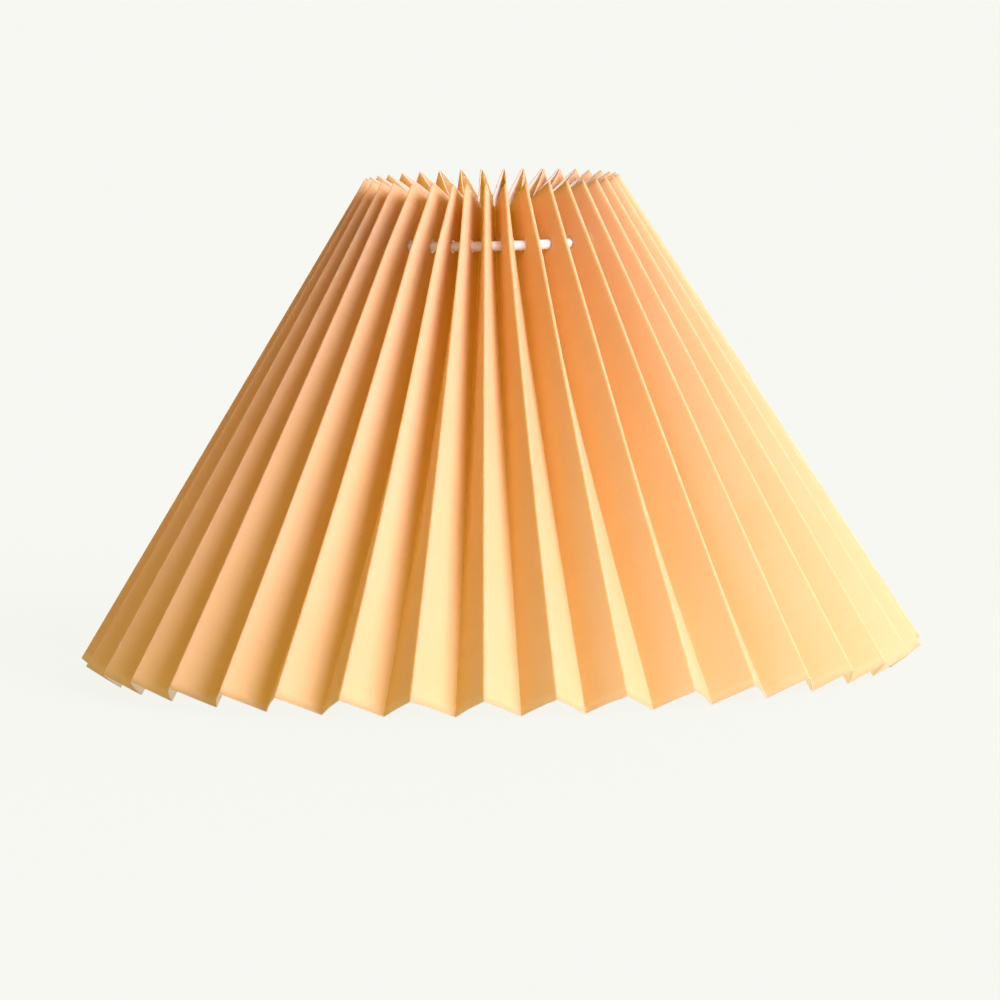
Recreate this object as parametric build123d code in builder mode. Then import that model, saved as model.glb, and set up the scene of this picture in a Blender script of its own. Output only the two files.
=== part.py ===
"""A pleated coolie lamp shade, held on a wire frame.

A straight strip of cloth on a plastic liner is folded into pleats and closed behind with a taped lap.
A cord threaded through every panel draws the pleats together at the top, round the carrier ring of a
frame with three spokes and a fitter ring for an E27 lamp holder.

Millimetres. +Z is up, the shade's axis is Z, and the pleats' lowest corner stands at Z = 0.
A fold that points outward is called a ridge here, and one that points inward a valley.
"""

import math
import os

from build123d import *

# The folded sheet
PLEATS = 38
PANEL_WIDTH = 19.1  # across the sheet, from a ridge to the next valley
SHEET_HEIGHT = 225.0  # along a fold, from one cut edge to the other
TOP_RADIUS = 51.0  # of the ridges
BOTTOM_RADIUS = 170.0
CLOTH = 0.3
GLUE = 0.1  # the film between the cloth and its liner
LINER = 0.3
SEAM_TAPE = 0.15
TAPE_GAP = 0.05
TAPE_EDGES = (0.15, 0.85)  # of the way from the seam's ridge to its valley
SEAM_ANGLE = math.pi / 2  # behind, where +Y is
SECTIONS = 4  # level outlines that each layer is lofted through
LOFT_SPARE = 3.0  # the lofts run past the cut edges by this much

# The drawcord and its punched holes
CORD_DROP = 24.4  # below the tops of the ridges
CORD_RING_RADIUS = 54.4
CORD_DIAMETER = 3.8
CORD_HOLE_DIAMETER = 5.2
KNOT_RADIUS = 4.0
KNOT_DISTANCE = 67.0  # from the axis
TAIL_LENGTH = 17.0
TAIL_SPREAD = 0.14  # sideways, per unit of length

# The wire frame
WIRE = 3.0
CARRIER_RADIUS = 44.0
NOTCH_DIAMETER = 3.4  # where the valleys sit astride the carrier ring
SPOKES = 3
SPOKE_BEND = 3.5
SPOKE_SHOULDER_RADII = (38.5, 33.0)  # of its upper and lower bends
FITTER_DROP = 14.0  # of the fitter's top face, below the carrier ring's middle
FITTER_BORE_RADIUS = 21.0
FITTER_RADIUS = 27.5
FITTER_SHEET = 1.5
FITTER_SKIRT = 6.0
FITTER_FILLET = 0.6

half_pitch = math.pi / PLEATS
laminate = CLOTH + GLUE + LINER
rise = math.sqrt(SHEET_HEIGHT**2 - (BOTTOM_RADIUS - TOP_RADIUS) ** 2)
lean = (BOTTOM_RADIUS - TOP_RADIUS) / rise  # outward, per unit of fall


def valley_end(ridge_radius):
    """A valley's end, as its radius and its height over the ridge's end, for a strip cut square."""
    c, s, t = math.cos(half_pitch), math.sin(half_pitch), 1 + lean**2
    a = c**2 * t + s**2
    b = c * ridge_radius * t
    radius = (b - math.sqrt(b**2 - a * (ridge_radius**2 * t - PANEL_WIDTH**2))) / a
    return radius, (radius * c - ridge_radius) * lean


top_valley_radius, top_valley_height = valley_end(TOP_RADIUS)
bottom_valley_radius, bottom_valley_height = valley_end(BOTTOM_RADIUS)
bottom_cut_slope = -bottom_valley_height / (BOTTOM_RADIUS - bottom_valley_radius)
top_cut_slope = -top_valley_height / (TOP_RADIUS - top_valley_radius)


def fold_radius(height, is_ridge):
    """A fold's radius at a height over the lower ends of the ridges."""
    if is_ridge:
        return BOTTOM_RADIUS - lean * height
    low, high = bottom_valley_height, rise + top_valley_height
    share = (height - low) / (high - low)
    return bottom_valley_radius + share * (top_valley_radius - bottom_valley_radius)


def fold_angle(height, is_ridge):
    """The angle between a panel and the radius through one of its folds, in a level section."""
    ridge, valley = fold_radius(height, True), fold_radius(height, False)
    at_ridge = math.atan2(valley * math.sin(half_pitch), ridge - valley * math.cos(half_pitch))
    return at_ridge if is_ridge else at_ridge + half_pitch


def fold_point(k, height, depth):
    """Fold k, a ridge if k is even, on the surface that lies depth outside the sheet's middle."""
    is_ridge = k % 2 == 0
    radius = fold_radius(height, is_ridge) + depth / math.sin(fold_angle(height, is_ridge))
    turn = SEAM_ANGLE + k * half_pitch
    return radius * math.cos(turn), radius * math.sin(turn)


def between(start, end, share):
    return tuple(a + share * (b - a) for a, b in zip(start, end))


lap_depth = -(laminate + SEAM_TAPE + 2 * TAPE_GAP)  # the lapped panel runs inside the first one
last_fold = 2 * PLEATS

# The lapped panel's inner corner is the lowest point, and it is put at Z = 0.
lapped_corner = (laminate / 2 - lap_depth) / math.sin(fold_angle(bottom_valley_height, False))
base = lapped_corner * bottom_cut_slope - bottom_valley_height
cord_height = base + rise - CORD_DROP
fitter_top = cord_height - FITTER_DROP


def strip_outline(height, outside, inside):
    """One layer of the strip in a level section: once round, then one more panel lapped inside."""
    depths = [0.0] * last_fold + [lap_depth] * 2
    outer = [fold_point(k, height, outside + depth) for k, depth in enumerate(depths)]
    inner = [fold_point(k, height, inside + depth) for k, depth in enumerate(depths)]
    return outer + inner[::-1]


def tape_outline(height, outside, inside):
    """The tape between the two lapped panels, in a level section."""
    edges = []
    for depth in (outside, inside):
        ridge, valley = fold_point(0, height, depth), fold_point(1, height, depth)
        edges.append([between(ridge, valley, share) for share in TAPE_EDGES])
    return edges[0] + edges[1][::-1]


def trimmed_layer(label, outline, outside, inside):
    """Lofts a layer of the sheet, cuts it square to its folds, and punches it for cord and ring."""
    low = bottom_valley_height - LOFT_SPARE
    high = rise + LOFT_SPARE
    reach = TOP_RADIUS - top_valley_radius
    with BuildPart() as layer:
        for step in range(SECTIONS):
            height = low + (high - low) * step / (SECTIONS - 1)
            with BuildSketch(Plane.XY.offset(base + height)):
                with BuildLine():
                    Polyline(*outline(height, outside, inside), close=True)
                make_face()
        loft(ruled=True)
        with BuildSketch(Plane.XZ):
            with BuildLine():
                Polyline(
                    (bottom_valley_radius - reach, base + bottom_valley_height - reach * bottom_cut_slope),
                    (BOTTOM_RADIUS + reach, base + reach * bottom_cut_slope),
                    (TOP_RADIUS + reach, base + rise + reach * top_cut_slope),
                    (top_valley_radius - reach, base + rise + top_valley_height - reach * top_cut_slope),
                    close=True,
                )
            make_face()
        revolve(axis=Axis.Z, mode=Mode.INTERSECT)
        with Locations((0, 0, cord_height)):
            Torus(CORD_RING_RADIUS, CORD_HOLE_DIAMETER / 2, mode=Mode.SUBTRACT)
            Torus(CARRIER_RADIUS, NOTCH_DIAMETER / 2, mode=Mode.SUBTRACT)
    layer.part.label = label
    return layer.part


def drawcord():
    """The cord's ring, with its knot and two tails in the valley beside the seam."""
    turn = SEAM_ANGLE - half_pitch
    outward = Vector(math.cos(turn), math.sin(turn), 0)
    sideways = Vector(-math.sin(turn), math.cos(turn), 0)
    level = Vector(0, 0, cord_height)
    knot = level + outward * KNOT_DISTANCE
    with BuildPart() as cord:
        with Locations((0, 0, cord_height)):
            Torus(CORD_RING_RADIUS, CORD_DIAMETER / 2)
        with BuildSketch(Plane(origin=level + outward * CORD_RING_RADIUS, z_dir=outward)):
            Circle(CORD_DIAMETER / 2)
        extrude(amount=KNOT_DISTANCE - CORD_RING_RADIUS)
        with Locations(knot):
            Sphere(KNOT_RADIUS)
        for side in (-1, 1):
            along = (outward * lean + sideways * side * TAIL_SPREAD - Vector(0, 0, 1)).normalized()
            with BuildSketch(Plane(origin=knot, z_dir=along)):
                Circle(CORD_DIAMETER / 2)
            extrude(amount=TAIL_LENGTH)
    cord.part.label = "drawcord"
    return cord.part


def carrier_ring():
    with BuildPart() as ring:
        with Locations((0, 0, cord_height)):
            Torus(CARRIER_RADIUS, WIRE / 2)
    ring.part.label = "carrier_ring"
    return ring.part


def spoke(number):
    """A cranked wire from the carrier ring down to the fitter's skirt, coped to meet both."""
    turn = 2 * math.pi * number / SPOKES - math.pi / 2
    radial = Plane(origin=(0, 0, 0), x_dir=(math.cos(turn), math.sin(turn), 0),
                   z_dir=(math.sin(turn), -math.cos(turn), 0))
    upper, lower = SPOKE_SHOULDER_RADII
    low = fitter_top - FITTER_SKIRT / 2
    with BuildPart() as wire:
        with BuildLine(radial) as route:
            FilletPolyline(
                (CARRIER_RADIUS, cord_height),
                (upper, cord_height),
                (lower, low),
                (FITTER_RADIUS - WIRE / 2, low),
                radius=SPOKE_BEND,
            )
        with BuildSketch(Plane(origin=route.line @ 0, z_dir=route.line % 0)):
            Circle(WIRE / 2)
        sweep()
        with Locations((0, 0, cord_height)):
            Torus(CARRIER_RADIUS, WIRE / 2, mode=Mode.SUBTRACT)
        with Locations((0, 0, low)):
            Cylinder(FITTER_RADIUS, 2 * FITTER_SKIRT, mode=Mode.SUBTRACT)
    wire.part.label = f"spoke_{number}"
    return wire.part


def fitter_ring():
    """A pressed ring: a flat seat for the lamp holder's shoulder, with a turned-down skirt."""
    with BuildPart() as ring:
        with BuildSketch(Plane.XZ):
            with BuildLine():
                Polyline(
                    (FITTER_BORE_RADIUS, fitter_top),
                    (FITTER_RADIUS, fitter_top),
                    (FITTER_RADIUS, fitter_top - FITTER_SKIRT),
                    (FITTER_RADIUS - FITTER_SHEET, fitter_top - FITTER_SKIRT),
                    (FITTER_RADIUS - FITTER_SHEET, fitter_top - FITTER_SHEET),
                    (FITTER_BORE_RADIUS, fitter_top - FITTER_SHEET),
                    close=True,
                )
            make_face()
        revolve(axis=Axis.Z)
        fillet(ring.edges().filter_by(GeomType.CIRCLE).group_by(Axis.Z)[-1].sort_by(SortBy.RADIUS)[-1],
               radius=FITTER_FILLET)
    ring.part.label = "fitter_ring"
    return ring.part


middle = laminate / 2
tape_outside = -(middle + TAPE_GAP)
parts = [
    trimmed_layer("pleated_cloth", strip_outline, middle, middle - CLOTH),
    trimmed_layer("pleated_liner", strip_outline, LINER - middle, -middle),
    trimmed_layer("seam_tape", tape_outline, tape_outside, tape_outside - SEAM_TAPE),
    drawcord(),
    carrier_ring(),
    fitter_ring(),
]
parts += [spoke(number + 1) for number in range(SPOKES)]

os.makedirs("parts", exist_ok=True)
for part in parts:
    export_step(part, f"parts/{part.label}.step")
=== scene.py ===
import math

import bpy
import numpy as np
from mathutils import Matrix, Vector


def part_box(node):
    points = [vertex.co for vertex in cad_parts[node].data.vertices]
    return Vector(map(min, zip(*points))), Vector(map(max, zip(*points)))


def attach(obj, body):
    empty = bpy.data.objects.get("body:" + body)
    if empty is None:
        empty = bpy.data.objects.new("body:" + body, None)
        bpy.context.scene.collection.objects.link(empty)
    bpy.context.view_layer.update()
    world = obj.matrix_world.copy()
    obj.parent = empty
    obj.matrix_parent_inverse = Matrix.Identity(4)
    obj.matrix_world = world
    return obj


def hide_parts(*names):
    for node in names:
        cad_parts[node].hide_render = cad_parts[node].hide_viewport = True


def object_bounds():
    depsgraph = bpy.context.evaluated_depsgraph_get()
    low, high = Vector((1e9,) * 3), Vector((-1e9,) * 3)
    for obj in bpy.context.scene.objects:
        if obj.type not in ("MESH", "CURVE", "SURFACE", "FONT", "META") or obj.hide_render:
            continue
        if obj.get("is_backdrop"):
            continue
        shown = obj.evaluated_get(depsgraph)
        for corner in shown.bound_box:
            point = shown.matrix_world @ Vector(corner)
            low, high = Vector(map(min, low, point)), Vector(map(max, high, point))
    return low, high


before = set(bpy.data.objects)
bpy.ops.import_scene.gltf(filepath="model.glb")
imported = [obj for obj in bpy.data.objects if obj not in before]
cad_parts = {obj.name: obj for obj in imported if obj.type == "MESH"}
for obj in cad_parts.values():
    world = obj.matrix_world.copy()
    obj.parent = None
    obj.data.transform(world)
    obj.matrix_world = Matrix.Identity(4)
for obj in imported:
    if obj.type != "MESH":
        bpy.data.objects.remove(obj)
cad_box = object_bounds()

MM = 0.001

TINY = 1e-9
SEED = 11

# ---------------------------------------------------------------- the sheet's sizes, in millimetres
PLEATS = 38
PANEL_WIDTH = 19.1
SHEET_HEIGHT = 225.0
TOP_RADIUS = 51.0
BOTTOM_RADIUS = 170.0
THICKNESS = 0.5
FOLD_RADIUS = 0.42  # of the sheet's middle, round a crease
SEAM_ANGLE = math.pi / 2  # behind, where +Y is

VALLEY_BOW = 1.3  # inward, halfway up
BOW_POWER = 1.5
PANEL_BULGE = 0.55
BULGE_POWER = 1.3
HELD_BULGE = 0.25  # of the bulge is left where the cord holds the panels flatter
HELD_RANGE = (0.4, 0.9)  # of the way up, from a free panel to a held one
TOP_JITTER = 0.35
BOTTOM_JITTER = 0.55
BOW_JITTER = 0.18
JITTER_LIMIT = 2  # times its amount
FLARE_FROM = 0.86  # of the way up

LAP_DEPTH = 0.75  # of the panel lapped inside the first one
LAP_ANGLE = math.radians(25)  # from a panel to the radius, taken as the same all the way up
LAP_VALLEY_SHARE = 0.8  # of the ridge's way in

CORD_DROP = 24.4  # below the tops of the ridges
CORD_RING_RADIUS = 54.4
CORD_RADIUS = 1.9
HOLE_RADIUS = 2.6
HOLE_SHARE = 0.548  # of the way from ridge to valley
# the ridge lapped inside the first one stands further in, so the last two panels meet the cord
# elsewhere: the share of the way from ridge to valley, and the share of the way up the sheet
LAP_HOLES = ((0.5038, 0.89787), (0.470, 0.89612))
LIP_HEIGHT = 0.32  # of the rim that the punch pushed out
LIP_WIDTH = 0.75
LIP_MEAN = 0.75  # of its height
LIP_SWING = 0.5
LIP_START = 1.2
LIP_STEP = 2.4  # radians that its highest side turns from one panel to the next
NOTCH_RADIUS = 1.9  # where a valley sits astride the carrier ring

TAPE_EDGES = (0.15, 0.21, 0.85)  # across the first panel, with one column between
TAPE_OFFSETS = (-0.30, -0.45)

# ---------------------------------------------------------------- the sheet's mesh
# across a panel: creases finely, then a square block that a hole can be let into
ARC_SHARE = 0.034
EDGE_COLUMNS = [0.0, ARC_SHARE * 0.34, ARC_SHARE * 0.67, ARC_SHARE, 0.10]
SPARE_COLUMN = 0.19  # between the ridge's columns and the block
HOLE_CELLS = 6  # each way in the block
HOLE_HALF = 0.27
HOLE_SPAN = HOLE_HALF * PANEL_WIDTH  # half the height of the block, in mm
# up the sheet: plain rows, then rows of the block's height for both the holes and the notches
LOWER_ROWS = 49
BLOCK_ROWS = 9
UPPER_ROWS = 5
NOTCH_COLUMNS = 4  # on each side of the crease
NOTCH_ROWS = 4
NOTCH_UP = 4  # rows from the hole block's lower edge
SNIP_COLUMNS = 5  # at the lapped panel's end, which is snipped clear of the carrier ring
HOLE_LOOPS = 3
LOOP_POWER = 0.8  # crowds the loops towards the hole

half_pitch = math.pi / PLEATS
rise = math.sqrt(SHEET_HEIGHT**2 - (BOTTOM_RADIUS - TOP_RADIUS) ** 2)
lean = (BOTTOM_RADIUS - TOP_RADIUS) / rise
last_fold = 2 * PLEATS


def valley_end(ridge_radius):
    """A valley's end, as its radius and its height over the ridge's end, for a strip cut square."""
    c, s, t = math.cos(half_pitch), math.sin(half_pitch), 1 + lean**2
    a = c**2 * t + s**2
    b = c * ridge_radius * t
    radius = (b - math.sqrt(b**2 - a * (ridge_radius**2 * t - PANEL_WIDTH**2))) / a
    return radius, (radius * c - ridge_radius) * lean


top_valley_radius, top_valley_height = valley_end(TOP_RADIUS)
bottom_valley_radius, bottom_valley_height = valley_end(BOTTOM_RADIUS)
ring_low, ring_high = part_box("carrier_ring")
cord_height = (ring_low[2] + ring_high[2]) / 2 / MM
base = cord_height + CORD_DROP - rise

# ---------------------------------------------------------------- the folded sheet
rng = np.random.default_rng(SEED)

# where folds stand off their even places, in millimetres round the ring:
# the fold, how far at the top, how far at the bottom, and how far the loose top edge flares
NUDGES = np.array((
    (0, -3.2, 0.0, 0.0),
    (13, 0.6, 0.0, 0.0),
    (21, 0.0, 0.0, 0.0),
    (28, 0.2, 0.0, 0.0),
    (29, 0.3, 0.8, 0.5),
    (30, 0.5, 0.4, 1.0),
    (31, 1.4, 2.0, 1.1),
    (32, 2.1, -1.4, 1.2),
    (33, 2.1, 0.0, 1.3),
    (34, 1.9, -1.7, 1.3),
    (35, 1.4, 0.0, 0.4),
    (36, 0.7, 0.4, -0.4),
    (37, 0.3, 2.9, 0.0),
    (38, 0.0, 0.0, 0.0),
    (39, -0.5, 0.0, 0.2),
    (40, -1.0, 1.2, 0.3),
    (41, -0.8, 0.1, 0.0),
    (42, -0.5, 0.0, -0.5),
    (43, 0.3, 1.3, -0.2),
    (44, 1.0, 0.9, 0.0),
    (46, 1.5, 0.0, -0.2),
    (48, 0.7, 0.0, 0.0),
    (51, 0.0, 0.0, 0.0),
    (56, 0.0, 0.0, 0.0),
    (76, -3.2, 0.0, 0.0),
))


def fold_jitter(count, amount):
    """One sideways offset for each fold, in millimetres, and the same for the folds of the lap."""
    values = rng.normal(0.0, amount, count + 2)
    values[0] = values[count] = 0.0
    values[count + 1] = values[1]
    return np.clip(values, -JITTER_LIMIT * amount, JITTER_LIMIT * amount)


top_jitter = fold_jitter(last_fold, TOP_JITTER)
bottom_jitter = fold_jitter(last_fold, BOTTOM_JITTER)
bow_jitter = rng.normal(0.0, BOW_JITTER, last_fold + 2)
bow_jitter[last_fold] = bow_jitter[0]


def smooth_step(x):
    x = np.clip(x, 0, 1)
    return x * x * (3 - 2 * x)


def fold_turn(k, v):
    """The angle of fold k about the axis, at v from the bottom (0) to the top (1) of the sheet."""
    nominal = SEAM_ANGLE + k * half_pitch
    top, bottom, flare = (np.interp(k % last_fold, NUDGES[:, 0], NUDGES[:, i]) for i in (1, 2, 3))
    bottom = (bottom + bottom_jitter[k]) / BOTTOM_RADIUS
    top = (top + top_jitter[k]) / TOP_RADIUS
    flare = flare / TOP_RADIUS * smooth_step((v - FLARE_FROM) / (1 - FLARE_FROM))
    return nominal + bottom + (top - bottom) * v + flare


def fold_tip(k, v, depth):
    """The radius and height of fold k's crease, on the middle of a sheet lying depth further in."""
    is_ridge = k % 2 == 0
    inward = depth / math.sin(LAP_ANGLE)
    ridge_r = BOTTOM_RADIUS + (TOP_RADIUS - BOTTOM_RADIUS) * v - THICKNESS / 2
    ridge_z = base + rise * v
    bow = VALLEY_BOW * np.sin(np.pi * np.clip(v, 0, 1)) ** BOW_POWER
    valley_r = bottom_valley_radius + (top_valley_radius - bottom_valley_radius) * v
    valley_r = valley_r + THICKNESS / 2 - bow
    low = base + bottom_valley_height
    valley_z = low + (base + rise + top_valley_height - low) * v
    radius = np.where(is_ridge, ridge_r - inward, valley_r - inward * LAP_VALLEY_SHARE)
    return radius, np.where(is_ridge, ridge_z, valley_z)


def section(p, q, v, depth):
    """Points on the sheet's middle, and their outward normals in a level section.

    p is the panel, q runs across it from fold p (0) to fold p + 1 (1), and v runs up the fold.
    Also returns how fast the height rises with the radius.
    """
    forward = p % 2 == 0  # this panel starts at a ridge
    ridge = np.where(forward, p, p + 1)
    valley = np.where(forward, p + 1, p)
    t = np.where(forward, q, 1 - q)
    ridge_depth = np.where(ridge >= last_fold, depth, 0.0)
    valley_depth = np.where(valley > last_fold, depth, 0.0)
    ridge_r, ridge_z = fold_tip(ridge, v, ridge_depth)
    valley_r, valley_z = fold_tip(valley, v, valley_depth)
    a, b = fold_turn(ridge, v), fold_turn(valley, v)
    er = np.stack([np.cos(a), np.sin(a)], -1)
    ev = np.stack([np.cos(b), np.sin(b)], -1)
    rho = FOLD_RADIUS
    cr = er * (ridge_r - rho)[..., None]
    cv = ev * (valley_r + rho)[..., None]
    line = cv - cr
    length = np.linalg.norm(line, axis=-1)
    u = line / length[..., None]
    cos_g = np.clip(2 * rho / length, -1, 1)
    sin_g = np.sqrt(1 - cos_g**2)
    # the side of the line between the creases' centres that faces away from the axis
    side = np.stack([-u[..., 1], u[..., 0]], -1)
    side = side * np.sign((side * er).sum(-1))[..., None]
    n = u * cos_g[..., None] + side * sin_g[..., None]
    gr = np.arccos(np.clip((n * er).sum(-1), -1, 1))
    gv = np.arccos(np.clip((n * ev).sum(-1), -1, 1))
    straight = length * sin_g
    arc_r, arc_v = rho * gr, rho * gv
    total = arc_r + straight + arc_v
    s = t * total
    in_r, in_v = s < arc_r, s > arc_r + straight
    # angle turned within each arc
    ar = np.where(in_r, s / rho, 0.0)
    av = np.where(in_v, (total - s) / rho, 0.0)

    def turned(e, target, angle, full):
        """e turned towards target by angle, where full is the angle between them."""
        k = np.sin(full)
        k = np.where(np.abs(k) < TINY, TINY, k)
        return e * (np.sin(full - angle) / k)[..., None] + target * (np.sin(angle) / k)[..., None]

    n_r = turned(er, n, ar, gr)
    n_v = turned(ev, n, av, gv)
    along = np.clip((s - arc_r) / straight, 0, 1)[..., None]
    on_line = cr + n * rho + (cv - n * rho - cr - n * rho) * along
    xy = np.where(in_v[..., None], cv - n_v * rho, on_line)
    xy = np.where(in_r[..., None], cr + n_r * rho, xy)
    normal = np.where(in_r[..., None], n_r, np.where(in_v[..., None], n_v, n))
    r = np.hypot(xy[..., 0], xy[..., 1])
    share = (ridge_r - r) / (ridge_r - valley_r)
    z = ridge_z + (valley_z - ridge_z) * share
    slope_z = (valley_z - ridge_z) / (valley_r - ridge_r)
    return np.concatenate([xy, z[..., None]], -1), normal, slope_z


def sheet_points(p, q, v, offset):
    """Points offset outward from the sheet's middle, in millimetres, with the panels' bulge."""
    dv = 1e-3
    mid, normal, slope_z = section(p, q, v, LAP_DEPTH)
    ahead = section(p, q, v + dv, LAP_DEPTH)[0]
    behind = section(p, q, v - dv, LAP_DEPTH)[0]
    up = ahead - behind
    across = np.stack([normal[..., 1], -normal[..., 0]], -1)
    r = np.hypot(mid[..., 0], mid[..., 1])
    dr = (across * mid[..., :2]).sum(-1) / r
    across = np.concatenate([across, (slope_z * dr)[..., None]], -1)
    n3 = np.cross(up, across)
    n3 /= np.linalg.norm(n3, axis=-1, keepdims=True)
    sign = np.sign((n3[..., :2] * normal).sum(-1))
    n3 = n3 * sign[..., None]
    free = smooth_step((HELD_RANGE[1] - v) / (HELD_RANGE[1] - HELD_RANGE[0]))
    bulge = PANEL_BULGE * (HELD_BULGE + (1 - HELD_BULGE) * free) + bow_jitter[p] * free
    bulge = bulge * np.sin(np.pi * q) ** BULGE_POWER
    return mid + n3 * (offset + bulge + punched_lip(p, q, v))[..., None]


def punched_lip(p, q, v):
    """How far the punch pushed the sheet out round a cord hole, more on one side than the other."""
    share, height = hole_shares[p], hole_heights[p]
    x = (q - np.where(p % 2 == 0, share, 1 - share)) * PANEL_WIDTH
    y = (v - height) * SHEET_HEIGHT
    from_rim = (np.hypot(x, y) - HOLE_RADIUS) / LIP_WIDTH
    turn = np.arctan2(y, x) - LIP_START - LIP_STEP * (p % last_fold)
    return LIP_HEIGHT * (LIP_MEAN + LIP_SWING * np.cos(turn)) * np.exp(-from_rim**2)


def panel_columns():
    """Positions across a panel that starts at a ridge."""
    left = EDGE_COLUMNS + [SPARE_COLUMN]
    block = list(np.linspace(HOLE_SHARE - HOLE_HALF, HOLE_SHARE + HOLE_HALF, HOLE_CELLS + 1))
    right = [1 - x for x in reversed(EDGE_COLUMNS)]
    return np.array(left + block + right)


columns = panel_columns()
block_start = len(EDGE_COLUMNS) + 1
# heights of the holes, of a cell and of the notches, as shares of the way up the sheet
hole_v = (cord_height - (base + HOLE_SHARE * bottom_valley_height)) / (
    rise + HOLE_SHARE * (top_valley_height - bottom_valley_height))
cell_v = 2 * HOLE_SPAN / HOLE_CELLS / SHEET_HEIGHT
valley_rise = rise + top_valley_height - bottom_valley_height
notch_v = (cord_height - base - bottom_valley_height) / valley_rise
hole_shares = np.full(last_fold + 1, HOLE_SHARE)
hole_heights = np.full(last_fold + 1, hole_v)
hole_shares[-2:], hole_heights[-2:] = zip(*LAP_HOLES)


def sheet_rows():
    """Positions up the sheet, from the bottom (0) to the top (1)."""
    low = hole_v - HOLE_CELLS / 2 * cell_v
    lower = np.linspace(0, low, LOWER_ROWS + 1)[:-1]
    block = low + cell_v * np.arange(BLOCK_ROWS + 1)
    upper = np.linspace(block[-1], 1, UPPER_ROWS + 1)[1:]
    return np.concatenate([lower, block, upper])


rows = sheet_rows()
hole_row = LOWER_ROWS
notch_row = hole_row + NOTCH_UP


class Sheet:
    """Gathers points in sheet coordinates, welded where panels meet, and the faces between them."""

    def __init__(self):
        self.points, self.index, self.faces = [], {}, []

    def point(self, p, q, v):
        if abs(q - 1) < TINY:
            p, q = p + 1, 0.0
        key = (p, round(q, 6), round(v, 7))
        if key not in self.index:
            self.index[key] = len(self.points)
            self.points.append((p, q, v))
        return self.index[key]


def ring_around(cells):
    """The border of a block of cells, anticlockwise, as (column, row) steps."""
    c, r = cells
    steps = [(i, 0) for i in range(c)] + [(c, j) for j in range(r)]
    return steps + [(c - i, r) for i in range(c)] + [(0, r - j) for j in range(r)]


def holed_block(sheet, at, border, centre, radius, loops):
    """Fills between a block's border and a round hole. at() turns millimetres into a point."""
    outline = [(x - centre[0], y - centre[1]) for x, y in border]
    count = len(outline)
    start = math.atan2(outline[0][1], outline[0][0])
    previous = [at(x + centre[0], y + centre[1]) for x, y in outline]
    for loop in range(1, loops + 2):
        share = (loop / (loops + 1)) ** LOOP_POWER
        current = []
        for i, (x, y) in enumerate(outline):
            turn = math.atan2(y, x)
            even = start + 2 * math.pi * i / count
            even = turn + ((even - turn + math.pi) % (2 * math.pi) - math.pi) * share
            far = math.hypot(x, y)
            r = far + (radius - far) * share
            current.append(at(centre[0] + r * math.cos(even), centre[1] + r * math.sin(even)))
        for i in range(count):
            j = (i + 1) % count
            sheet.faces.append((previous[i], previous[j], current[j], current[i]))
        previous = current


def lay_panel(sheet, p, cols, first, notched):
    """One panel's faces at these columns, with its cord hole in the block from column first on.

    A notched panel has no faces where the block round a valley's notch goes.
    """
    n_cols = len(cols) - 1
    for i in range(n_cols):
        for j in range(len(rows) - 1):
            if first <= i < first + HOLE_CELLS and hole_row <= j < hole_row + HOLE_CELLS:
                continue
            if notched and in_notch(p, i, j, n_cols):
                continue
            sheet.faces.append(tuple(sheet.point(p, cols[a], rows[b]) for a, b in
                                     ((i, j), (i + 1, j), (i + 1, j + 1), (i, j + 1))))
    border = [(cols[first + a] * PANEL_WIDTH, rows[hole_row + b] * SHEET_HEIGHT)
              for a, b in ring_around((HOLE_CELLS, HOLE_CELLS))]

    def at(x, y):
        return sheet.point(p, x / PANEL_WIDTH, y / SHEET_HEIGHT)

    q = hole_shares[p] if p % 2 == 0 else 1 - hole_shares[p]
    centre = (q * PANEL_WIDTH, hole_heights[p] * SHEET_HEIGHT)
    holed_block(sheet, at, border, centre, HOLE_RADIUS, HOLE_LOOPS)


def build_sheet():
    """The whole strip: once round, and one more panel lapped inside the first one."""
    sheet = Sheet()
    n_cols = len(columns) - 1
    for p in range(last_fold + 1):
        if p % 2 == 0:
            lay_panel(sheet, p, columns, block_start, True)
        else:
            lay_panel(sheet, p, 1 - columns[::-1], n_cols - block_start - HOLE_CELLS, True)
    for k in range(1, last_fold, 2):
        notch_block(sheet, k, n_cols)
    return sheet


def in_notch(p, i, j, n_cols):
    """Whether a cell lies in the block round a valley's notch, or in the lapped panel's snip."""
    reach = SNIP_COLUMNS if p == last_fold else NOTCH_COLUMNS
    near_valley = i >= n_cols - reach if p % 2 == 0 else i < reach
    return near_valley and notch_row <= j < notch_row + NOTCH_ROWS


def notch_block(sheet, k, n_cols):
    """The block astride valley k, in millimetres from the crease, with the notch in its middle."""
    left = (1 - columns[n_cols - NOTCH_COLUMNS:]) * -PANEL_WIDTH
    xs = np.concatenate([left, -left[::-1][1:]])

    def at(x, y):
        if x < -TINY:
            return sheet.point(k - 1, 1 + x / PANEL_WIDTH, y / SHEET_HEIGHT)
        return sheet.point(k, max(x, 0.0) / PANEL_WIDTH, y / SHEET_HEIGHT)

    border = [(xs[a], rows[notch_row + b] * SHEET_HEIGHT)
              for a, b in ring_around((2 * NOTCH_COLUMNS, NOTCH_ROWS))]
    holed_block(sheet, at, border, (0.0, notch_v * SHEET_HEIGHT), NOTCH_RADIUS, 1)


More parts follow.
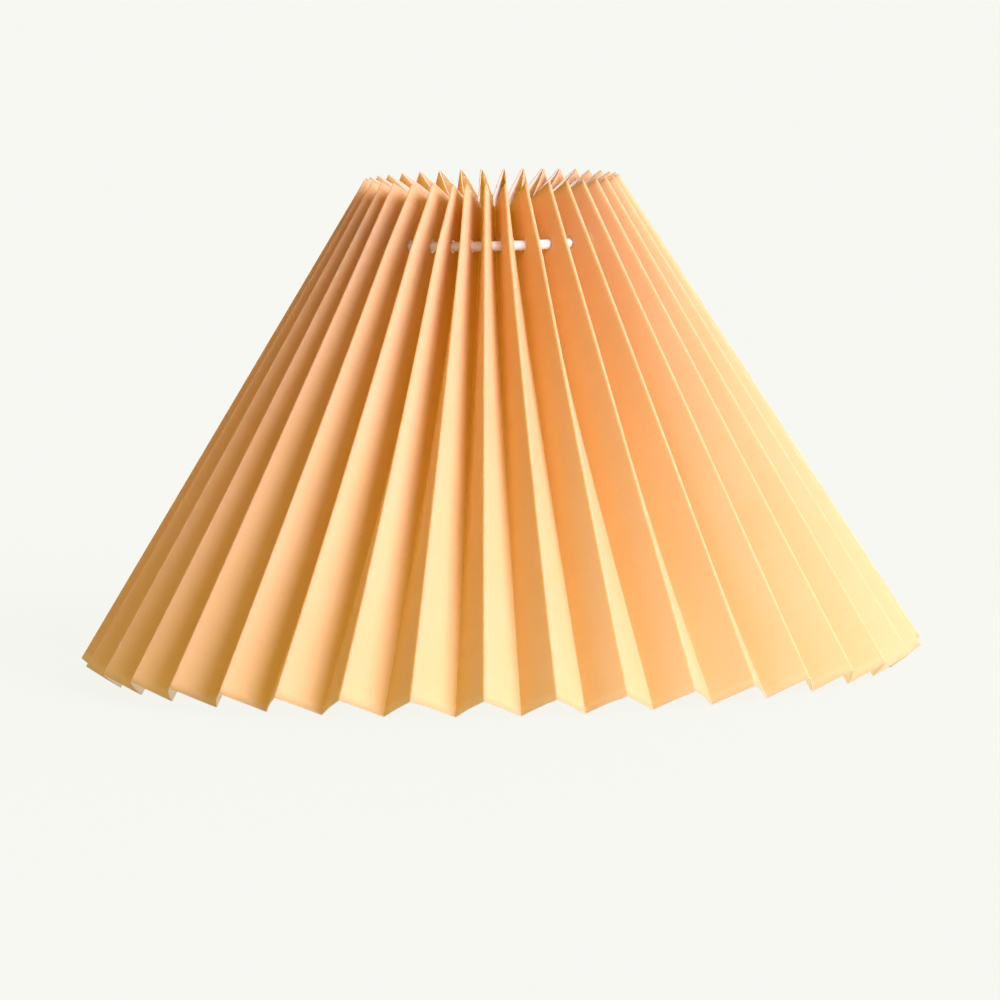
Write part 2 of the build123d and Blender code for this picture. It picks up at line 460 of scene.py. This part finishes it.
def new_object(name, points, faces, uvs=None):
    """A smooth-shaded object in the scene, from points in metres."""
    mesh = bpy.data.meshes.new(name)
    mesh.from_pydata([tuple(x) for x in points], [], faces)
    if uvs is not None:
        layer = mesh.uv_layers.new(name="sheet")
        flat = np.array([uvs[v] for f in faces for v in f], dtype=np.float32)
        layer.data.foreach_set("uv", flat.ravel())
    mesh.validate()
    mesh.polygons.foreach_set("use_smooth", [True] * len(mesh.polygons))
    obj = bpy.data.objects.new(name, mesh)
    bpy.context.scene.collection.objects.link(obj)
    return obj


def solid_sheet(name, sheet, outside, inside):
    """Both skins of a sheet, at these offsets from its middle, and its cut edges, as a closed mesh.

    Its faces are the outer skin's, then as many of the inner skin's, then those of the cut edges.
    """
    data = np.array(sheet.points)
    p, q, v = data[:, 0].astype(int), data[:, 1], data[:, 2]
    # the very last edge is the far end of the lapped panel
    over = p > last_fold
    p = np.where(over, last_fold, p)
    q = np.where(over, 1.0, q)
    outer = sheet_points(p, q, v, np.full(len(p), outside))
    inner = sheet_points(p, q, v, np.full(len(p), inside))
    n = len(data)
    # a dict and not a set, so that the edges keep their order
    edges = {(f[i], f[(i + 1) % 4]): True for f in sheet.faces for i in range(4)}
    rim = [(a, b) for a, b in edges if (b, a) not in edges]
    faces = list(sheet.faces) + [tuple(n + i for i in reversed(f)) for f in sheet.faces]
    faces += [(b, a, a + n, b + n) for a, b in rim]
    uv = np.stack([(p + q) * PANEL_WIDTH * MM, v * SHEET_HEIGHT * MM], -1)
    return new_object(name, np.concatenate([outer, inner]) * MM, faces, np.concatenate([uv, uv]))


sheet = build_sheet()
shade = solid_sheet("pleated_sheet", sheet, THICKNESS / 2, -THICKNESS / 2)

# the double-sided tape between the first panel and the one lapped inside it
tape_block = columns[block_start:block_start + HOLE_CELLS + 1]
tape_columns = np.array([*TAPE_EDGES[:2], *tape_block, TAPE_EDGES[2]])
tape_sheet = Sheet()
lay_panel(tape_sheet, 0, tape_columns, 2, False)
tape = solid_sheet("lap_tape", tape_sheet, *TAPE_OFFSETS)


# ---------------------------------------------------------------- materials
def material(name):
    """A new material with no nodes yet, with its nodes and its links."""
    m = bpy.data.materials.new(name)
    m.use_nodes = True
    m.node_tree.nodes.clear()
    return m, m.node_tree.nodes, m.node_tree.links


def show(nodes, links, shader):
    """Makes a shader's output the material's surface."""
    links.new(shader.outputs[0], add(nodes, "ShaderNodeOutputMaterial").inputs["Surface"])


def add(nodes, kind, **values):
    """A node of this kind, with its inputs or settings of these names set."""
    node = nodes.new(kind)
    for key, value in values.items():
        if key in node.inputs:
            node.inputs[key].default_value = value
        else:
            setattr(node, key, value)
    return node


def uv_scaled(nodes, links, across, up):
    """The sheet's own metres, stretched: across is round the shade, and up is along a fold."""
    uv = add(nodes, "ShaderNodeUVMap", uv_map="sheet")
    mapping = add(nodes, "ShaderNodeMapping")
    mapping.inputs["Scale"].default_value = (across, up, 1.0)
    links.new(uv.outputs["UV"], mapping.inputs["Vector"])
    return mapping.outputs["Vector"]


def math_node(nodes, links, operation, *values):
    """A Math node; each value is a socket or a number."""
    node = add(nodes, "ShaderNodeMath", operation=operation)
    for socket, value in zip(node.inputs, values):
        if isinstance(value, bpy.types.NodeSocket):
            links.new(value, socket)
        else:
            socket.default_value = value
    return node.outputs[0]


def noise_node(nodes, links, vector, scale, detail=2.0):
    noise = add(nodes, "ShaderNodeTexNoise", Scale=scale, Detail=detail)
    links.new(vector, noise.inputs["Vector"])
    return noise.outputs["Fac"]


def ranged(nodes, links, value, low, high, to_low=0.0, to_high=1.0):
    """The value mapped from one range to another, and held inside it."""
    node = nodes.new("ShaderNodeMapRange")
    links.new(value, node.inputs["Value"])
    limits = {"From Min": low, "From Max": high, "To Min": to_low, "To Max": to_high}
    for name, number in limits.items():
        node.inputs[name].default_value = number
    return node.outputs["Result"]


def mixed(nodes, links, factor, a, b):
    """A colour mix; a and b are colours or sockets."""
    node = add(nodes, "ShaderNodeMix", data_type="RGBA")
    links.new(factor, node.inputs["Factor"])
    for name, value in (("A", a), ("B", b)):
        if isinstance(value, bpy.types.NodeSocket):
            links.new(value, node.inputs[name])
        else:
            node.inputs[name].default_value = (*value, 1)
    return node.outputs["Result"]


NOISE_MIDDLE = (0.35, 0.65)  # where most of a noise's values lie
THREAD = 0.00036  # metres from one thread to the next
WAVE_UNIT = 20 / (2 * math.pi)  # bands in one unit of a wave texture at scale 1
WAVE_DISTORTION = 0.6
# noise cells in a metre: across and up for the slubs of each thread, and both ways for the others
WEFT_CELLS = (45, 1100)
WARP_CELLS = (1300, 40)
BROAD_CELLS = 22.0
WEAR_CELLS = 160.0
WEFT_WEIGHT, WARP_WEIGHT, BROAD_WEIGHT = 1.4, 0.6, 1.2
DEEP_TO_PALE = (1.2, 2.0)  # of the weighted noises' sum
STREAK_RANGE = (0.6, 1.4)
WORN_REACH = (0.0012, 0.0002)  # metres from a crease to where it is unworn, and worn most
WORN_MOST = 0.75
WEAVE_BUMP = 0.35
STREAK_BUMP = 0.5
SHEET_GLOSS = 0.06  # either side of its roughness


def sheet_material(name, colour, deep, worn, through, share, roughness, weave_depth, streak_depth):
    """Cloth or film with threads both ways, slubs, and creases worn paler.

    The share of it that lets light through gives that light the colour called through.
    """
    m, nodes, links = material(name)
    plain_uv = uv_scaled(nodes, links, 1, 1)
    weft = noise_node(nodes, links, uv_scaled(nodes, links, *WEFT_CELLS), 1.0, detail=3.0)
    warp = noise_node(nodes, links, uv_scaled(nodes, links, *WARP_CELLS), 1.0, detail=3.0)
    broad = noise_node(nodes, links, plain_uv, BROAD_CELLS)
    warp_part = math_node(nodes, links, "MULTIPLY", warp, WARP_WEIGHT)
    streaks = math_node(nodes, links, "MULTIPLY_ADD", weft, WEFT_WEIGHT, warp_part)
    broad_part = math_node(nodes, links, "MULTIPLY", broad, BROAD_WEIGHT)
    total = math_node(nodes, links, "ADD", streaks, broad_part)
    base_colour = mixed(nodes, links, ranged(nodes, links, total, *DEEP_TO_PALE), deep, colour)
    apart = nodes.new("ShaderNodeSeparateXYZ")
    links.new(plain_uv, apart.inputs[0])
    from_crease = math_node(nodes, links, "PINGPONG", apart.outputs["X"], PANEL_WIDTH * MM / 2)
    crease = ranged(nodes, links, from_crease, *WORN_REACH, 0.0, WORN_MOST)
    wear_noise = noise_node(nodes, links, plain_uv, WEAR_CELLS, detail=3.0)
    patchy = ranged(nodes, links, wear_noise, *NOISE_MIDDLE)
    wear = math_node(nodes, links, "MULTIPLY", crease, patchy)
    shown = mixed(nodes, links, wear, base_colour, worn)

    bands = []
    for direction in ("X", "Y"):
        wave = add(nodes, "ShaderNodeTexWave", Scale=1 / THREAD / WAVE_UNIT,
                   Distortion=WAVE_DISTORTION, bands_direction=direction)
        wave.inputs["Detail Scale"].default_value = 0.6
        links.new(plain_uv, wave.inputs["Vector"])
        bands.append(wave.outputs["Fac"])
    weave = math_node(nodes, links, "MULTIPLY", *bands)
    fine = add(nodes, "ShaderNodeBump", Strength=WEAVE_BUMP, Distance=weave_depth)
    links.new(weave, fine.inputs["Height"])
    bump = add(nodes, "ShaderNodeBump", Strength=STREAK_BUMP, Distance=streak_depth)
    links.new(streaks, bump.inputs["Height"])
    links.new(fine.outputs["Normal"], bump.inputs["Normal"])

    surface = add(nodes, "ShaderNodeBsdfPrincipled")
    gloss = ranged(nodes, links, streaks, *STREAK_RANGE,
                   roughness - SHEET_GLOSS, roughness + SHEET_GLOSS)
    links.new(gloss, surface.inputs["Roughness"])
    links.new(shown, surface.inputs["Base Color"])
    links.new(bump.outputs["Normal"], surface.inputs["Normal"])
    glow = add(nodes, "ShaderNodeBsdfTranslucent", Color=(*through, 1))
    links.new(bump.outputs["Normal"], glow.inputs["Normal"])
    both = add(nodes, "ShaderNodeMixShader", Fac=share)
    links.new(surface.outputs["BSDF"], both.inputs[1])
    links.new(glow.outputs["BSDF"], both.inputs[2])
    show(nodes, links, both)
    return m


# the depths of the weave and the streaks are in metres
cloth = sheet_material(
    "apricot cloth", colour=(0.92, 0.70, 0.60), deep=(0.875, 0.65, 0.515), worn=(0.95, 0.80, 0.71),
    through=(0.995, 0.77, 0.005), share=0.6, roughness=0.9,
    weave_depth=0.00006, streak_depth=0.00010)
liner = sheet_material(
    "white liner", colour=(0.90, 0.80, 0.72), deep=(0.87, 0.77, 0.68), worn=(0.93, 0.87, 0.82),
    through=(0.97, 0.87, 0.77), share=0.35, roughness=0.5,
    weave_depth=0.00001, streak_depth=0.00004)
cut_edge = sheet_material(
    "cut edge", colour=(0.92, 0.78, 0.60), deep=(0.86, 0.70, 0.50), worn=(0.92, 0.84, 0.72),
    through=(0.95, 0.62, 0.25), share=0.35, roughness=0.9,
    weave_depth=0.00006, streak_depth=0.00012)
tape_film = sheet_material(
    "tape film", colour=(0.86, 0.83, 0.76), deep=(0.80, 0.76, 0.68), worn=(0.90, 0.88, 0.84),
    through=(0.95, 0.90, 0.80), share=0.5, roughness=0.25,
    weave_depth=0.00001, streak_depth=0.00003)
for surface in (cloth, liner, cut_edge):
    shade.data.materials.append(surface)
slots = np.full(len(shade.data.polygons), 2, dtype=np.int32)
slots[:len(sheet.faces)] = 0
slots[len(sheet.faces):2 * len(sheet.faces)] = 1
shade.data.polygons.foreach_set("material_index", slots)
tape.data.materials.append(tape_film)

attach(shade, "root")
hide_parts("pleated_cloth", "pleated_liner")
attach(tape, "root")
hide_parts("seam_tape")


TINT_CELLS = 60.0  # noise cells in a metre
GRAIN_BUMP = 0.4
SOLID_GLOSS = 0.08  # either side of its roughness
GLOSS_NOISE = (0.3, 0.7)


def solid_material(name, colour, other, roughness, grain, bump_depth, sheen=0.0):
    """Paint or yarn: its colour wanders to another with its gloss, and its bump is a fine grain."""
    m, nodes, links = material(name)
    place = add(nodes, "ShaderNodeTexCoord").outputs["Object"]
    fine = noise_node(nodes, links, place, grain, detail=3.0)
    broad = noise_node(nodes, links, place, TINT_CELLS, detail=3.0)
    bump = add(nodes, "ShaderNodeBump", Strength=GRAIN_BUMP, Distance=bump_depth)
    links.new(fine, bump.inputs["Height"])
    shader = add(nodes, "ShaderNodeBsdfPrincipled")
    shader.inputs["Sheen Weight"].default_value = sheen
    shown = mixed(nodes, links, ranged(nodes, links, broad, *NOISE_MIDDLE), colour, other)
    links.new(shown, shader.inputs["Base Color"])
    gloss = ranged(nodes, links, broad, *GLOSS_NOISE,
                   roughness - SOLID_GLOSS, roughness + SOLID_GLOSS)
    links.new(gloss, shader.inputs["Roughness"])
    links.new(bump.outputs["Normal"], shader.inputs["Normal"])
    show(nodes, links, shader)
    return m


wire_paint = solid_material("white powder coat", (0.84, 0.84, 0.82), (0.78, 0.78, 0.75),
                            roughness=0.38, grain=2600.0, bump_depth=0.00004)
yarn = solid_material("white yarn", (0.88, 0.86, 0.80), (0.76, 0.73, 0.66),
                      roughness=0.85, grain=5200.0, bump_depth=0.00012, sheen=0.2)
WIRE_NODES = ("carrier_ring", "spoke_1", "spoke_2", "spoke_3", "fitter_ring")
for name in WIRE_NODES:
    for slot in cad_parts[name].material_slots:
        slot.material = wire_paint


# ---------------------------------------------------------------- the drawcord, its knot behind
BRAID_LOBES = 8  # yarns seen side by side round the cord, each way
BRAID_DEPTH = 0.28
BRAID_LAY = 0.5  # radians round for each millimetre along
BRAID_MEAN = 0.6  # of the depth, which keeps the cord's size
CORD_SIDES = 40
CORD_STEP = 0.36
SPLINE_STEPS = 24
END_ROUNDING = 0.7  # of the cord's radius
END_LEAST = 0.02
KNOT_CORD_RADIUS = 1.65  # pulled tight
TIGHT_FROM, TIGHT_OVER = 0.5, 4  # outside the cord's ring
# distance from the axis, sideways, and above the cord's ring
NECK = ((54.6, 2.5, 0.1), (57.0, 1.0, 1.2), (60.0, 0.2, 1.7), (63.4, 0.0, 1.75))
WOUND_TAIL = ((73.0, -2.6, -3.6), (74.1, -2.7, -7.0), (76.4, -2.9, -11.4), (78.9, -3.4, -15.6))
STRAIGHT_TAIL = ((66.6, 0.0, 0.5), (69.0, 0.0, 0.1), (71.8, 0.2, -0.2), (73.6, 1.2, -1.8),
                 (74.4, 2.2, -5.0), (76.2, 2.5, -9.5), (78.7, 2.6, -14.6))
NECK_GAP = 3.9  # round the ring, from the valley's middle to where an end turns out
RING_STEPS = 90
COIL_RADIUS = 2.9
COIL_RUN = (66.6, 71.4)  # distances from the axis between which one end is wound round the other
COIL_TURNS = 1.65
COIL_STEPS = 22


def smooth_line(points, step):
    """Evenly spaced points on a smooth line through the given ones."""
    points = np.array(points)
    padded = np.concatenate([[2 * points[0] - points[1]], points, [2 * points[-1] - points[-2]]])
    t = np.linspace(0, 1, SPLINE_STEPS, endpoint=False)[:, None]
    pieces = []
    for a, b, c, d in zip(padded, padded[1:], padded[2:], padded[3:]):
        squared, cubed = 2 * a - 5 * b + 4 * c - d, 3 * b - a - 3 * c + d
        pieces.append(0.5 * (2 * b + (c - a) * t + squared * t**2 + cubed * t**3))
    dense = np.concatenate([*pieces, points[-1:]])
    run = np.concatenate([[0], np.cumsum(np.linalg.norm(np.diff(dense, axis=0), axis=1))])
    even = np.linspace(0, run[-1], int(run[-1] / step) + 1)
    return np.stack([np.interp(even, run, dense[:, i]) for i in range(3)], -1)


def tube(name, line, radius, sides, relief):
    """A tube with rounded ends. relief(turn, along) is how far its surface stands out."""
    ahead = np.gradient(line, axis=0)
    ahead /= np.linalg.norm(ahead, axis=1, keepdims=True)
    side = np.cross(ahead[0], (0.0, 0.0, 1.0))
    sideways = []
    for direction in ahead:
        side = side - direction * (side @ direction)
        side = side / np.linalg.norm(side)
        sideways.append(side)
    sideways = np.array(sideways)[:, None]
    upward = np.cross(ahead[:, None], sideways)
    along = np.concatenate([[0], np.cumsum(np.linalg.norm(np.diff(line, axis=0), axis=1))])[:, None]
    turn = (2 * math.pi * np.arange(sides) / sides)[None]
    from_end = np.minimum(along, along[-1] - along) / (END_ROUNDING * radius.min())
    from_end = np.clip(from_end, END_LEAST, 1)
    r = (radius[:, None] + relief(turn, along)) * np.sqrt(1 - (1 - from_end) ** 2)
    points = line[:, None] + sideways * (r * np.cos(turn))[..., None]
    points = points + upward * (r * np.sin(turn))[..., None]
    rings = np.arange(len(line) * sides).reshape(len(line), sides)
    after = np.roll(rings, -1, axis=1)
    faces = np.stack([rings[:-1], after[:-1], after[1:], rings[1:]], -1).reshape(-1, 4).tolist()
    faces += [rings[0][::-1].tolist(), rings[-1].tolist()]
    return new_object(name, points.reshape(-1, 3) * MM, faces)


def braid(turn, along):
    """The yarns' relief, where those of one hand pass over and under those of the other."""
    one = BRAID_LOBES / 2 * (turn + BRAID_LAY * along)
    other = BRAID_LOBES / 2 * (turn - BRAID_LAY * along)
    over = np.sin(one) * np.sin(other) > 0
    return BRAID_DEPTH * (np.where(over, np.abs(np.sin(one)), np.abs(np.sin(other))) - BRAID_MEAN)


def cord_line():
    """The cord from tail to tail: through the knot, in along the neck, round the ring and back."""
    valley = fold_turn(last_fold - 1, notch_v)
    outward = np.array((math.cos(valley), math.sin(valley), 0.0))
    sideways = np.array((-math.sin(valley), math.cos(valley), 0.0))

    def at(distance, side, height):
        return outward * distance + sideways * side + np.array((0.0, 0.0, cord_height + height))

    line = [at(*p) for p in WOUND_TAIL[::-1]]
    for share in np.linspace(0, 1, COIL_STEPS):
        angle = -math.pi / 2 - 2 * math.pi * COIL_TURNS * (1 - share)
        distance = COIL_RUN[1] + (COIL_RUN[0] - COIL_RUN[1]) * share
        line.append(at(distance, COIL_RADIUS * math.cos(angle), COIL_RADIUS * math.sin(angle)))
    line += [at(d, s, -h) for d, s, h in NECK[::-1]]
    gap = NECK_GAP / CORD_RING_RADIUS
    for angle in np.linspace(valley + gap, valley + 2 * math.pi - gap, RING_STEPS):
        x, y = CORD_RING_RADIUS * math.cos(angle), CORD_RING_RADIUS * math.sin(angle)
        line.append(np.array((x, y, cord_height)))
    line += [at(d, -s, h) for d, s, h in NECK]
    line += [at(*p) for p in STRAIGHT_TAIL]
    return smooth_line(line, CORD_STEP)


line = cord_line()
outside_ring = np.hypot(line[:, 0], line[:, 1]) - CORD_RING_RADIUS
tightness = smooth_step((outside_ring - TIGHT_FROM) / TIGHT_OVER)
cord_radii = CORD_RADIUS + (KNOT_CORD_RADIUS - CORD_RADIUS) * tightness
cord = tube("braided_cord", line, cord_radii, CORD_SIDES, braid)
cord.data.materials.append(yarn)
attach(cord, "root")
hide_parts("drawcord")


# ---------------------------------------------------------------- the welds at the spokes' ends
SPOKES = 3
FIRST_SPOKE = math.pi / 6
WIRE_RADIUS = 1.5
WELD_REACH = 1.9  # along the spoke
WELD_FLARE = 1.0  # outside the wire, where the bead is thickest
WELD_POWER = 1.8
WELD_SUNK = 0.05  # its thin end, into the wire
WELD_BURIED = 0.6  # its thick end, into the ring or the fitter
WELD_LUMPS = (0.12, 0.07)  # in three and in seven waves round
WELD_UNEVEN = 0.1  # in its reach
WELD_RINGS = 9
WELD_SIDES = 28
fitter_low, fitter_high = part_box("fitter_ring")
weld_rng = np.random.default_rng(SEED + 1)


def weld(points, faces, turn, distance, height, direction):
    """A flared bead round a spoke's end, thickest where it meets the ring or the fitter."""
    outward = np.array((math.cos(turn), math.sin(turn), 0.0))
    sideways = np.array((-math.sin(turn), math.cos(turn), 0.0))
    lumps = weld_rng.uniform(0, 2 * math.pi, 3)
    first = len(points)
    for i in range(WELD_RINGS):
        x = i / (WELD_RINGS - 1)
        for j in range(WELD_SIDES):
            a = 2 * math.pi * j / WELD_SIDES
            lump = 1 + WELD_LUMPS[0] * math.sin(3 * a + lumps[0] + 2 * x)
            lump += WELD_LUMPS[1] * math.sin(7 * a + lumps[1])
            r = WIRE_RADIUS - WELD_SUNK + WELD_FLARE * (1 - x) ** WELD_POWER * lump
            reach = WELD_REACH * x * (1 + WELD_UNEVEN * math.sin(2 * a + lumps[2]))
            far = distance + direction * (reach - WELD_BURIED)
            level = np.array((0, 0, height + r * math.sin(a)))
            points.append(outward * far + sideways * r * math.cos(a) + level)
    grid = first + np.arange(WELD_RINGS * WELD_SIDES).reshape(WELD_RINGS, WELD_SIDES)
    after = np.roll(grid, -1, axis=1)
    faces += np.stack([grid[:-1], after[:-1], after[1:], grid[1:]], -1).reshape(-1, 4).tolist()
    faces += [grid[0][::-1].tolist(), grid[-1].tolist()]


ring_inside = (ring_high[0] - ring_low[0]) / 2 / MM - 2 * WIRE_RADIUS
skirt_outside = (fitter_high[0] - fitter_low[0]) / 2 / MM
skirt_middle = (fitter_high[2] + fitter_low[2]) / 2 / MM
weld_points, weld_faces = [], []
for number in range(SPOKES):
    turn = 2 * math.pi * number / SPOKES + FIRST_SPOKE
    weld(weld_points, weld_faces, turn, ring_inside, cord_height, -1)
    weld(weld_points, weld_faces, turn, skirt_outside, skirt_middle, 1)
welds = new_object("spoke_welds", np.array(weld_points) * MM, weld_faces)
welds.data.materials.append(wire_paint)
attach(welds, "root")

# ---------------------------------------------------------------- floor, light and camera
# metres, radians and, for the lens and its sensor, millimetres
FLOOR_HALF = 30.0
CAMERA_TURN = 0.0453  # the camera stands this far to the right of the front ridge
CAMERA_DISTANCE = 3.104
CAMERA_RISE = 0.09024
AIM_UP = -0.0113535
AIM_SIDE = 0.000203
CAMERA_ROLL = -0.0213688
LENS = 276.84
SENSOR = 36.0
CLIP_END = 200.0
SUN_DISTANCE = 3  # only for show, as a sun lights from anywhere

corners = [(-1, -1, 0), (1, -1, 0), (1, 1, 0), (-1, 1, 0)]
floor = new_object("floor", np.array(corners) * FLOOR_HALF, [(0, 1, 2, 3)])
# it glows as pale as the photo's background, and reflects too little for a shadow to show much
m, nodes, links = material("floor paint")
shader = add(nodes, "ShaderNodeBsdfPrincipled", Roughness=0.9)
shader.inputs["Base Color"].default_value = (0.05, 0.05, 0.049, 1)
shader.inputs["Emission Color"].default_value = (0.99, 1.0, 0.95, 1)
shader.inputs["Emission Strength"].default_value = 0.738
shader.inputs["Specular IOR Level"].default_value = 0.0
show(nodes, links, shader)
floor.data.materials.append(m)
floor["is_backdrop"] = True

world = bpy.data.worlds.new("studio")
bpy.context.scene.world = world
world.use_nodes = True
background = world.node_tree.nodes["Background"]
background.inputs["Color"].default_value = (1.0, 0.72, 0.58, 1)
background.inputs["Strength"].default_value = 0.21


def place_camera():
    """The scene's camera, aimed at the shade's middle and then off it as the photo's is."""
    target = Vector((0, 0, (base + rise / 2) * MM))
    turn = Matrix.Rotation(CAMERA_TURN, 3, "Z")
    away = CAMERA_DISTANCE * Vector((0, -math.cos(CAMERA_RISE), math.sin(CAMERA_RISE)))
    forward = -away.normalized()
    right = Vector((1, 0, 0))
    up = right.cross(forward)
    forward = (forward + math.tan(AIM_SIDE) * right + math.tan(AIM_UP) * up).normalized()
    right = forward.cross(up).normalized()
    up = right.cross(forward)
    rolled_right = math.cos(CAMERA_ROLL) * right + math.sin(CAMERA_ROLL) * up
    rolled_up = -math.sin(CAMERA_ROLL) * right + math.cos(CAMERA_ROLL) * up
    axes = Matrix((turn @ rolled_right, turn @ rolled_up, turn @ -forward)).transposed().to_4x4()
    data = bpy.data.cameras.new("camera")
    data.lens = LENS
    data.sensor_width = SENSOR
    data.clip_end = CLIP_END
    camera = bpy.data.objects.new("camera", data)
    camera.matrix_world = Matrix.Translation(target + turn @ away) @ axes
    bpy.context.scene.collection.objects.link(camera)
    bpy.context.scene.camera = camera


def sun(name, azimuth, elevation, spread, strength, colour):
    """A soft far light, in degrees. azimuth is to the right of the camera."""
    data = bpy.data.lights.new(name, "SUN")
    data.energy = strength
    data.angle = math.radians(spread)
    data.color = colour
    light = bpy.data.objects.new(name, data)
    a, e = math.radians(azimuth) + CAMERA_TURN, math.radians(elevation)
    towards = Vector((math.sin(a) * math.cos(e), -math.cos(a) * math.cos(e), math.sin(e)))
    light.location = towards * SUN_DISTANCE
    light.rotation_euler = towards.to_track_quat("Z", "Y").to_euler()
    bpy.context.scene.collection.objects.link(light)


place_camera()
# the key is slightly cool and the fill warm; the back one hardly reaches the shade's front
sun("key", azimuth=47, elevation=20, spread=42, strength=4.86, colour=(0.825, 0.82, 1.0))
sun("fill", azimuth=-20, elevation=30, spread=60, strength=0.22, colour=(1.0, 0.65, 0.42))
sun("back", azimuth=160, elevation=38, spread=60, strength=1.7, colour=(0.96, 0.92, 1.0))

bpy.context.scene.view_settings.view_transform = "Standard"
bpy.context.scene.view_settings.look = "Medium High Contrast"
bpy.context.scene.cycles.diffuse_bounces = 12
bpy.context.scene.cycles.max_bounces = 16

boxes = {"cad": cad_box, "visual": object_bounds()}
{key: [[float(c) for c in corner] for corner in value] for key, value in boxes.items()}
